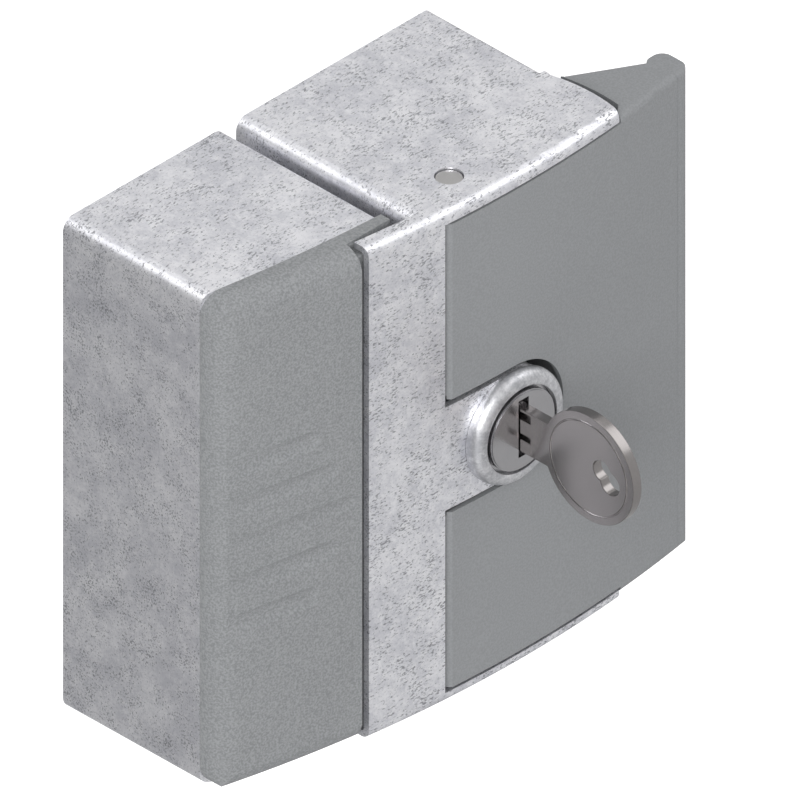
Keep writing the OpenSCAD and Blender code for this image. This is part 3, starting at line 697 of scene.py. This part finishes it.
@dataclass
class SheetMetal:
    """The two galvanised pressings, the pin ends in the case and the collar on its arm."""

    edge_mm: float = 0.3
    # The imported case's right side, its top, and the bend and depth of the walls there
    right_mm: float = 27.3
    top_mm: float = 60.0
    bend_mm: float = 3.0
    wall_depth_mm: float = 32.0
    # The tighter bend that the real case has there, and how much wider it is
    tight_bend_mm: float = 1.7
    widen_mm: float = 1.1
    # The end of each pin that is moved, how far it sinks and how much it narrows
    pivot_mm: tuple[float, float] = PIVOT_MM
    pin_end_mm: float = 0.4
    pin_sink_mm: float = 0.3
    pin_taper: float = 0.93
    pin_shade_deg: float = 30.0
    # The collar's edges
    collar_edge_mm: float = 0.2
    collar_sharp_deg: float = 30.0

    def case(self) -> None:
        """The lock case, with the tighter bends and the full width of its right side."""
        piece = copy_of_node("case_shell", "pressed_case")
        ratio = self.tight_bend_mm / self.bend_mm
        low = self.right_mm - self.bend_mm - NEAR_MM
        high = self.top_mm - self.bend_mm - NEAR_MM
        front = -self.wall_depth_mm - NEAR_MM
        for side in (1.0, -1.0):
            squeeze(
                piece, (ratio, 1.0, ratio), (self.right_mm, 0.0, side * self.top_mm),
                lambda co, side=side: co.x > low and side * co.z > high and co.y > front,
            )
        shift(piece, (self.widen_mm, 0.0, 0.0), lambda co: co.x > low and co.y > front)
        round_edges(piece, self.edge_mm)
        hand_over(piece, Body.CASE, Slot.GALVANISED, GALVANISED, "case_shell")

    def keeper_box(self) -> None:
        """The keeper's box."""
        piece = copy_of_node("keeper_housing", "pressed_keeper_box")
        round_edges(piece, self.edge_mm)
        hand_over(piece, Body.KEEPER, Slot.GALVANISED, GALVANISED, "keeper_housing")

    def pin_ends(self) -> None:
        """The pivot pins, whose ends lie a little under the plates."""
        piece = copy_of_node("pivot_pins", "sunk_pins")
        edge = self.top_mm - self.pin_end_mm
        narrow = (self.pin_taper, self.pin_taper, 1.0)
        for side in (1.0, -1.0):
            squeeze(piece, narrow, (*self.pivot_mm, 0.0), lambda co, side=side: side * co.z > edge)
            shift(piece, (0.0, 0.0, -side * self.pin_sink_mm), lambda co, side=side: side * co.z > edge)
        smooth(piece, self.pin_shade_deg)
        hand_over(piece, Body.CASE, Slot.PIN, PIN, "pivot_pins")

    def collar(self) -> None:
        """The collar round the cylinder, brighter than the sheet round it."""
        piece = copy_of_node("cylinder_collar", "rolled_collar")
        round_edges(piece, self.collar_edge_mm, self.collar_sharp_deg)
        hand_over(piece, Body.CASE, Slot.GALVANISED, COLLAR_ZINC, "cylinder_collar")

    def build(self) -> None:
        """Makes the sheet-metal pieces in order."""
        self.case()
        self.keeper_box()
        self.pin_ends()
        self.collar()


@dataclass
class Mouldings:
    """The grey pull handle and the cover of the keeper half."""

    edge_mm: float = 0.35
    # The arched front of the whole lock
    front_mm: float = 54.3
    front_r_mm: float = 305.0
    # The wing's round step beside the case, and how much wider its gap is on the real lock
    pivot_mm: tuple[float, float] = PIVOT_MM
    swing_r_mm: float = 41.8
    swing_slack_mm: float = 0.25
    wider_gap_mm: float = 2.1
    # The step lies above this height, and its corners this near the front stay
    low_top_mm: float = 56.5
    corner_mm: float = 2.2
    # Half the height that holds the thumb grooves, their depth, and how far they move up
    groove_zone_mm: float = 36.0
    groove_depth_mm: float = 1.2
    groove_lift_mm: float = 9.5
    # The rib between its front and back edges, and its taper towards the back
    rib_x_mm: float = 16.0
    rib_t_mm: float = 1.8
    rib_h_mm: float = 24.0
    rib_front_mm: float = 50.7
    rib_back_mm: float = 40.0
    rib_taper: Triple = (0.7, 1.0, 0.9)
    rib_edge_mm: float = 0.25

    def under_front(self, corner: Vector) -> float:
        """How far a corner lies behind the arched front.

        Args:
            corner: Its place in millimetres.

        Returns:
            The distance in millimetres.
        """
        return self.front_r_mm - math.hypot(corner.x, corner.y - (self.front_r_mm - self.front_mm))

    def beside_case(self, corner: Vector) -> bool:
        """Whether a corner is on the wing's round step that faces the case.

        Args:
            corner: Its place in millimetres.

        Returns:
            True for the step's corners, apart from those next to the front.
        """
        from_pivot = math.hypot(corner.x - self.pivot_mm[0], corner.y - self.pivot_mm[1])
        return (abs(corner.z) > self.low_top_mm and self.under_front(corner) > self.corner_mm
                and abs(from_pivot - self.swing_r_mm) < self.swing_slack_mm)

    def handle(self) -> None:
        """The pull handle, with a wider gap between its wing and the case."""
        piece = copy_of_node("pull_handle", "moulded_handle")
        grow = (self.swing_r_mm + self.wider_gap_mm) / self.swing_r_mm
        squeeze(piece, (grow, grow, 1.0), (*self.pivot_mm, 0.0), self.beside_case)
        round_edges(piece, self.edge_mm)
        hand_over(piece, Body.HANDLE, Slot.PLASTIC, PLASTIC, "pull_handle")

    def cover(self) -> None:
        """The keeper's cover, with its thumb grooves at the middle of its height."""
        piece = copy_of_node("keeper_cover", "moulded_cover")
        shift(
            piece, (0.0, 0.0, self.groove_lift_mm),
            lambda co: abs(co.z) < self.groove_zone_mm and self.under_front(co) < self.groove_depth_mm,
        )
        round_edges(piece, self.edge_mm)
        hand_over(piece, Body.KEEPER, Slot.PLASTIC, COVER_PLASTIC, "keeper_cover")

    def rib(self) -> None:
        """The stiffening rib behind the handle's slot, thinner towards its free edge."""
        depth = self.rib_front_mm - self.rib_back_mm
        middle = (self.rib_front_mm + self.rib_back_mm) / 2.0
        clear_selection()
        bpy.ops.mesh.primitive_cube_add(size=1.0, location=(self.rib_x_mm * MM, -middle * MM, 0.0))
        piece = bpy.context.object
        piece.name = "slot_rib"
        piece.scale = (self.rib_t_mm * MM, depth * MM, self.rib_h_mm * MM)
        settle(piece)
        squeeze(
            piece, self.rib_taper, (self.rib_x_mm, 0.0, 0.0),
            lambda co: co.y > -self.rib_back_mm - NEAR_MM,
        )
        round_edges(piece, self.rib_edge_mm)
        hand_over(piece, Body.HANDLE, Slot.PLASTIC, PLASTIC)

    def build(self) -> None:
        """Makes the mouldings in order."""
        self.handle()
        self.cover()
        self.rib()


@dataclass
class KeyAndPlug:
    """The key and the face of the cylinder plug round it."""

    # The key's middle, as X and Z
    centre_mm: tuple[float, float] = (-3.2, 0.8)
    key_edge_mm: float = 0.2
    key_sharp_deg: float = 60.0
    key_shade_deg: float = 25.0
    # How much nearer the plug the bow sits
    set_back_mm: float = 0.6
    thick_mm: float = 2.4
    bow_y_mm: float = -77.7
    bow_r_mm: float = 12.7
    groove_in_mm: float = 1.9
    groove_r_mm: float = 0.2
    # The ring hole's middle, as Y and Z, its growth, and its reach before and after
    hole_mm: tuple[float, float] = (-83.3, 0.8)
    hole_grow: float = 1.12
    hole_reach_mm: float = 5.2
    grown_reach_mm: float = 5.6
    hole_back_mm: float = 0.7
    # The plug's face, and the part of the neck before it that stays in place
    mouth_mm: float = -57.6
    neck_mm: float = 1.5
    # The milling cutter's radius, depth and heights at the blade grooves' ends
    run_out_r_mm: float = 9.2
    run_out_depth_mm: float = 0.8
    run_out_back_mm: float = 0.5
    run_out_heights_mm: tuple[Step, Step] = ((3.4, 5.4), (-1.4, 0.1))
    # The plug, the rim of it that is drawn in, and by how much
    plug_r_mm: float = 9.3
    plug_rim_mm: float = 0.3
    plug_gap_mm: float = 0.25
    plug_edge_mm: float = 0.25
    plug_sharp_deg: float = 40.0

    def ring_hole(self, piece: bpy.types.Object) -> None:
        """Widens the ring hole and moves it a little towards the neck.

        Args:
            piece: The key.
        """
        middle = (self.centre_mm[0], self.hole_mm[0] + self.set_back_mm, self.hole_mm[1])
        squeeze(
            piece, (1.0, self.hole_grow, self.hole_grow), middle,
            lambda co: math.hypot(co.y - middle[1], co.z - middle[2]) < self.hole_reach_mm,
        )
        shift(
            piece, (0.0, self.hole_back_mm, 0.0),
            lambda co: math.hypot(co.y - middle[1], co.z - middle[2]) < self.grown_reach_mm,
        )

    def rim_grooves(self, piece: bpy.types.Object) -> None:
        """Cuts a fine round groove near the rim, on both sides of the bow.

        Args:
            piece: The key.
        """
        for side in (-1.0, 1.0):
            clear_selection()
            bpy.ops.mesh.primitive_torus_add(
                major_radius=(self.bow_r_mm - self.groove_in_mm) * MM, minor_radius=self.groove_r_mm * MM,
                major_segments=96, minor_segments=10, rotation=(0.0, math.pi / 2, 0.0),
                location=((self.centre_mm[0] + side * self.thick_mm / 2) * MM,
                          (self.bow_y_mm + self.set_back_mm) * MM, self.centre_mm[1] * MM))
            cut(piece, bpy.context.object)

    def run_outs(self, piece: bpy.types.Object) -> None:
        """Cuts the ends of the two milled blade grooves into the neck.

        Args:
            piece: The key.
        """
        face = self.centre_mm[0] - self.thick_mm / 2
        for low, high in self.run_out_heights_mm:
            clear_selection()
            bpy.ops.mesh.primitive_cylinder_add(
                vertices=96, radius=self.run_out_r_mm * MM, depth=(high - low) * MM,
                location=((face - self.run_out_r_mm + self.run_out_depth_mm) * MM,
                          (self.mouth_mm + self.run_out_back_mm) * MM, (low + high) / 2 * MM))
            cut(piece, bpy.context.object)

    def key(self) -> None:
        """The key, with its ring hole, rim grooves and groove ends."""
        piece = copy_of_node("key", "cut_key")
        shift(piece, (0.0, self.set_back_mm, 0.0), lambda co: co.y < self.mouth_mm - self.neck_mm)
        self.ring_hole(piece)
        round_edges(piece, self.key_edge_mm, self.key_sharp_deg)
        self.rim_grooves(piece)
        self.run_outs(piece)
        smooth(piece, self.key_shade_deg)
        hand_over(piece, Body.KEY, Slot.NICKEL, NICKEL, "key")

    def plug(self) -> None:
        """The plug, whose face is a little smaller than the collar's opening."""
        piece = copy_of_node("cylinder_plug", "turned_plug")
        ratio = (self.plug_r_mm - self.plug_gap_mm) / self.plug_r_mm
        squeeze(
            piece, (ratio, 1.0, ratio), (self.centre_mm[0], 0.0, 0.0),
            lambda co: math.hypot(co.x - self.centre_mm[0], co.z) > self.plug_r_mm - self.plug_rim_mm,
        )
        round_edges(piece, self.plug_edge_mm, self.plug_sharp_deg)
        hand_over(piece, Body.PLUG, Slot.CHROME, CHROME, "cylinder_plug")

    def build(self) -> None:
        """Makes the key and then the plug."""
        self.key()
        self.plug()


# The studio


@dataclass(frozen=True)
class Softbox:
    """A soft square lamp that faces the object."""

    name: str
    place_m: Triple
    size_m: float
    watts: float

    def hang(self, aim_m: Triple) -> None:
        """Makes the lamp.

        Args:
            aim_m: The point that it faces, in metres.
        """
        data = bpy.data.lights.new(self.name, "AREA")
        data.shape = "SQUARE"
        data.size = self.size_m
        data.energy = self.watts
        lamp = bpy.data.objects.new(self.name, data)
        lamp.location = Vector(self.place_m)
        lamp.rotation_euler = (Vector(aim_m) - lamp.location).to_track_quat("-Z", "Y").to_euler()
        bpy.context.scene.collection.objects.link(lamp)


@dataclass
class Studio:
    """Camera, lights and floor of the photograph."""

    azimuth_deg: float = -45.45
    elevation_deg: float = 34.7
    # Scale of the picture and its side in pixels
    px_per_mm: float = 4.965
    frame_px: int = 800
    target_mm: Triple = (-13.11, -32.40, 0.1)
    camera_m: float = 1.2
    clip_m: float = 20.0
    # Strength of the background that the camera sees
    white: float = 1.0
    # Light from all sides, how it leans, and the brighter patch in it
    light_level: float = 0.612
    light_lean: Triple = (0.196, -0.113, 0.084)
    glow_from: Triple = (-0.58, -0.58, -0.57)
    glow_step: Step = (0.84, 0.97)
    glow: float = 0.9
    floor_mm: float = -260.0
    floor_side_m: float = 6.0
    floor_colour: Colour = (0.8, 0.8, 0.8)
    floor_rough: float = 0.9
    floor_glow: float = 0.6
    # The point that the lamps face
    aim_m: Triple = (0.0, -0.03, 0.0)
    softboxes: tuple[Softbox, ...] = (
        Softbox("front_softbox", (-1.00, -0.75, 0.62), 0.7, 12.0),
        Softbox("top_softbox", (0.30, 0.30, 1.35), 0.8, 2.0),
        Softbox("left_softbox", (-0.62, 0.80, 0.95), 0.8, 2.6),
        Softbox("right_softbox", (0.85, -0.55, 1.00), 0.9, 3.4),
    )

    def camera(self) -> None:
        """A parallel camera from the photograph's side."""
        turn, rise = math.radians(self.azimuth_deg), math.radians(self.elevation_deg)
        back = Vector((math.sin(turn) * math.cos(rise), -math.cos(turn) * math.cos(rise), math.sin(rise)))
        data = bpy.data.cameras.new("camera")
        data.type = "ORTHO"
        data.ortho_scale = self.frame_px / self.px_per_mm * MM
        data.clip_end = self.clip_m
        camera = bpy.data.objects.new("camera", data)
        camera.location = Vector(self.target_mm) * MM + back * self.camera_m
        camera.rotation_euler = (-back).to_track_quat("-Z", "Y").to_euler()
        bpy.context.scene.collection.objects.link(camera)
        bpy.context.scene.camera = camera

    def world(self) -> None:
        """Soft light from all sides, which leans one way and glows from the lower front left."""
        world = bpy.data.worlds.new("studio")
        bpy.context.scene.world = world
        world.use_nodes = True
        sheet = NodeSheet(world.node_tree)
        ray = sheet.node("ShaderNodeLightPath")
        direction = sheet.node("ShaderNodeTexCoord").outputs["Generated"]
        glow = sheet.along(direction, self.glow_from).rising(*self.glow_step) * self.glow
        light = sheet.along(direction, self.light_lean) + self.light_level + glow
        soft = sheet.node("ShaderNodeBackground", {}, {"Strength": light})
        white = sheet.node("ShaderNodeBackground", {}, {"Strength": self.white})
        seen = sheet.node("ShaderNodeMixShader", {}, {
            0: ray.outputs["Is Camera Ray"], 1: soft.outputs[0], 2: white.outputs[0]})
        sheet.node("ShaderNodeOutputWorld", {}, {"Surface": seen.outputs[0]})

    def floor(self) -> None:
        """A pale floor with the object's shadow, white to the camera and clear to glossy rays."""
        clear_selection()
        bpy.ops.mesh.primitive_plane_add(size=self.floor_side_m, location=(0.0, 0.0, self.floor_mm * MM))
        floor = bpy.context.object
        floor.name = "floor"
        sheet = FinishSheet("floor_white")
        sheet.surface(Base_Color=self.floor_colour, Roughness=self.floor_rough)
        matte = sheet.shader.outputs[0]
        ray = sheet.node("ShaderNodeLightPath")
        glow = sheet.node("ShaderNodeEmission", {}, {"Strength": self.floor_glow})
        bright = sheet.node("ShaderNodeAddShader", {}, {0: matte, 1: glow.outputs[0]})
        seen = sheet.node("ShaderNodeMixShader", {}, {
            0: ray.outputs["Is Camera Ray"], 1: matte, 2: bright.outputs[0]})
        clear = sheet.node("ShaderNodeBsdfTransparent")
        whole = sheet.node("ShaderNodeMixShader", {}, {
            0: ray.outputs["Is Glossy Ray"], 1: seen.outputs[0], 2: clear.outputs[0]})
        sheet.feed(sheet.output.inputs["Surface"], whole.outputs[0])
        floor.data.materials.append(sheet.material)

    def build(self) -> None:
        """Sets up the whole studio."""
        bpy.context.scene.view_settings.view_transform = "Standard"
        self.camera()
        self.world()
        for softbox in self.softboxes:
            softbox.hang(self.aim_m)
        self.floor()


def main() -> None:
    """Loads the frame, sets up the studio and builds every sub-assembly."""
    logging.basicConfig(level=logging.INFO, format="%(message)s")
    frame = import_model()
    clear_selection()
    Studio().build()
    Hardware(frame["record"], frame["nodes"]).dress()
    SheetMetal().build()
    Mouldings().build()
    KeyAndPlug().build()


if __name__ == "__main__":
    main()
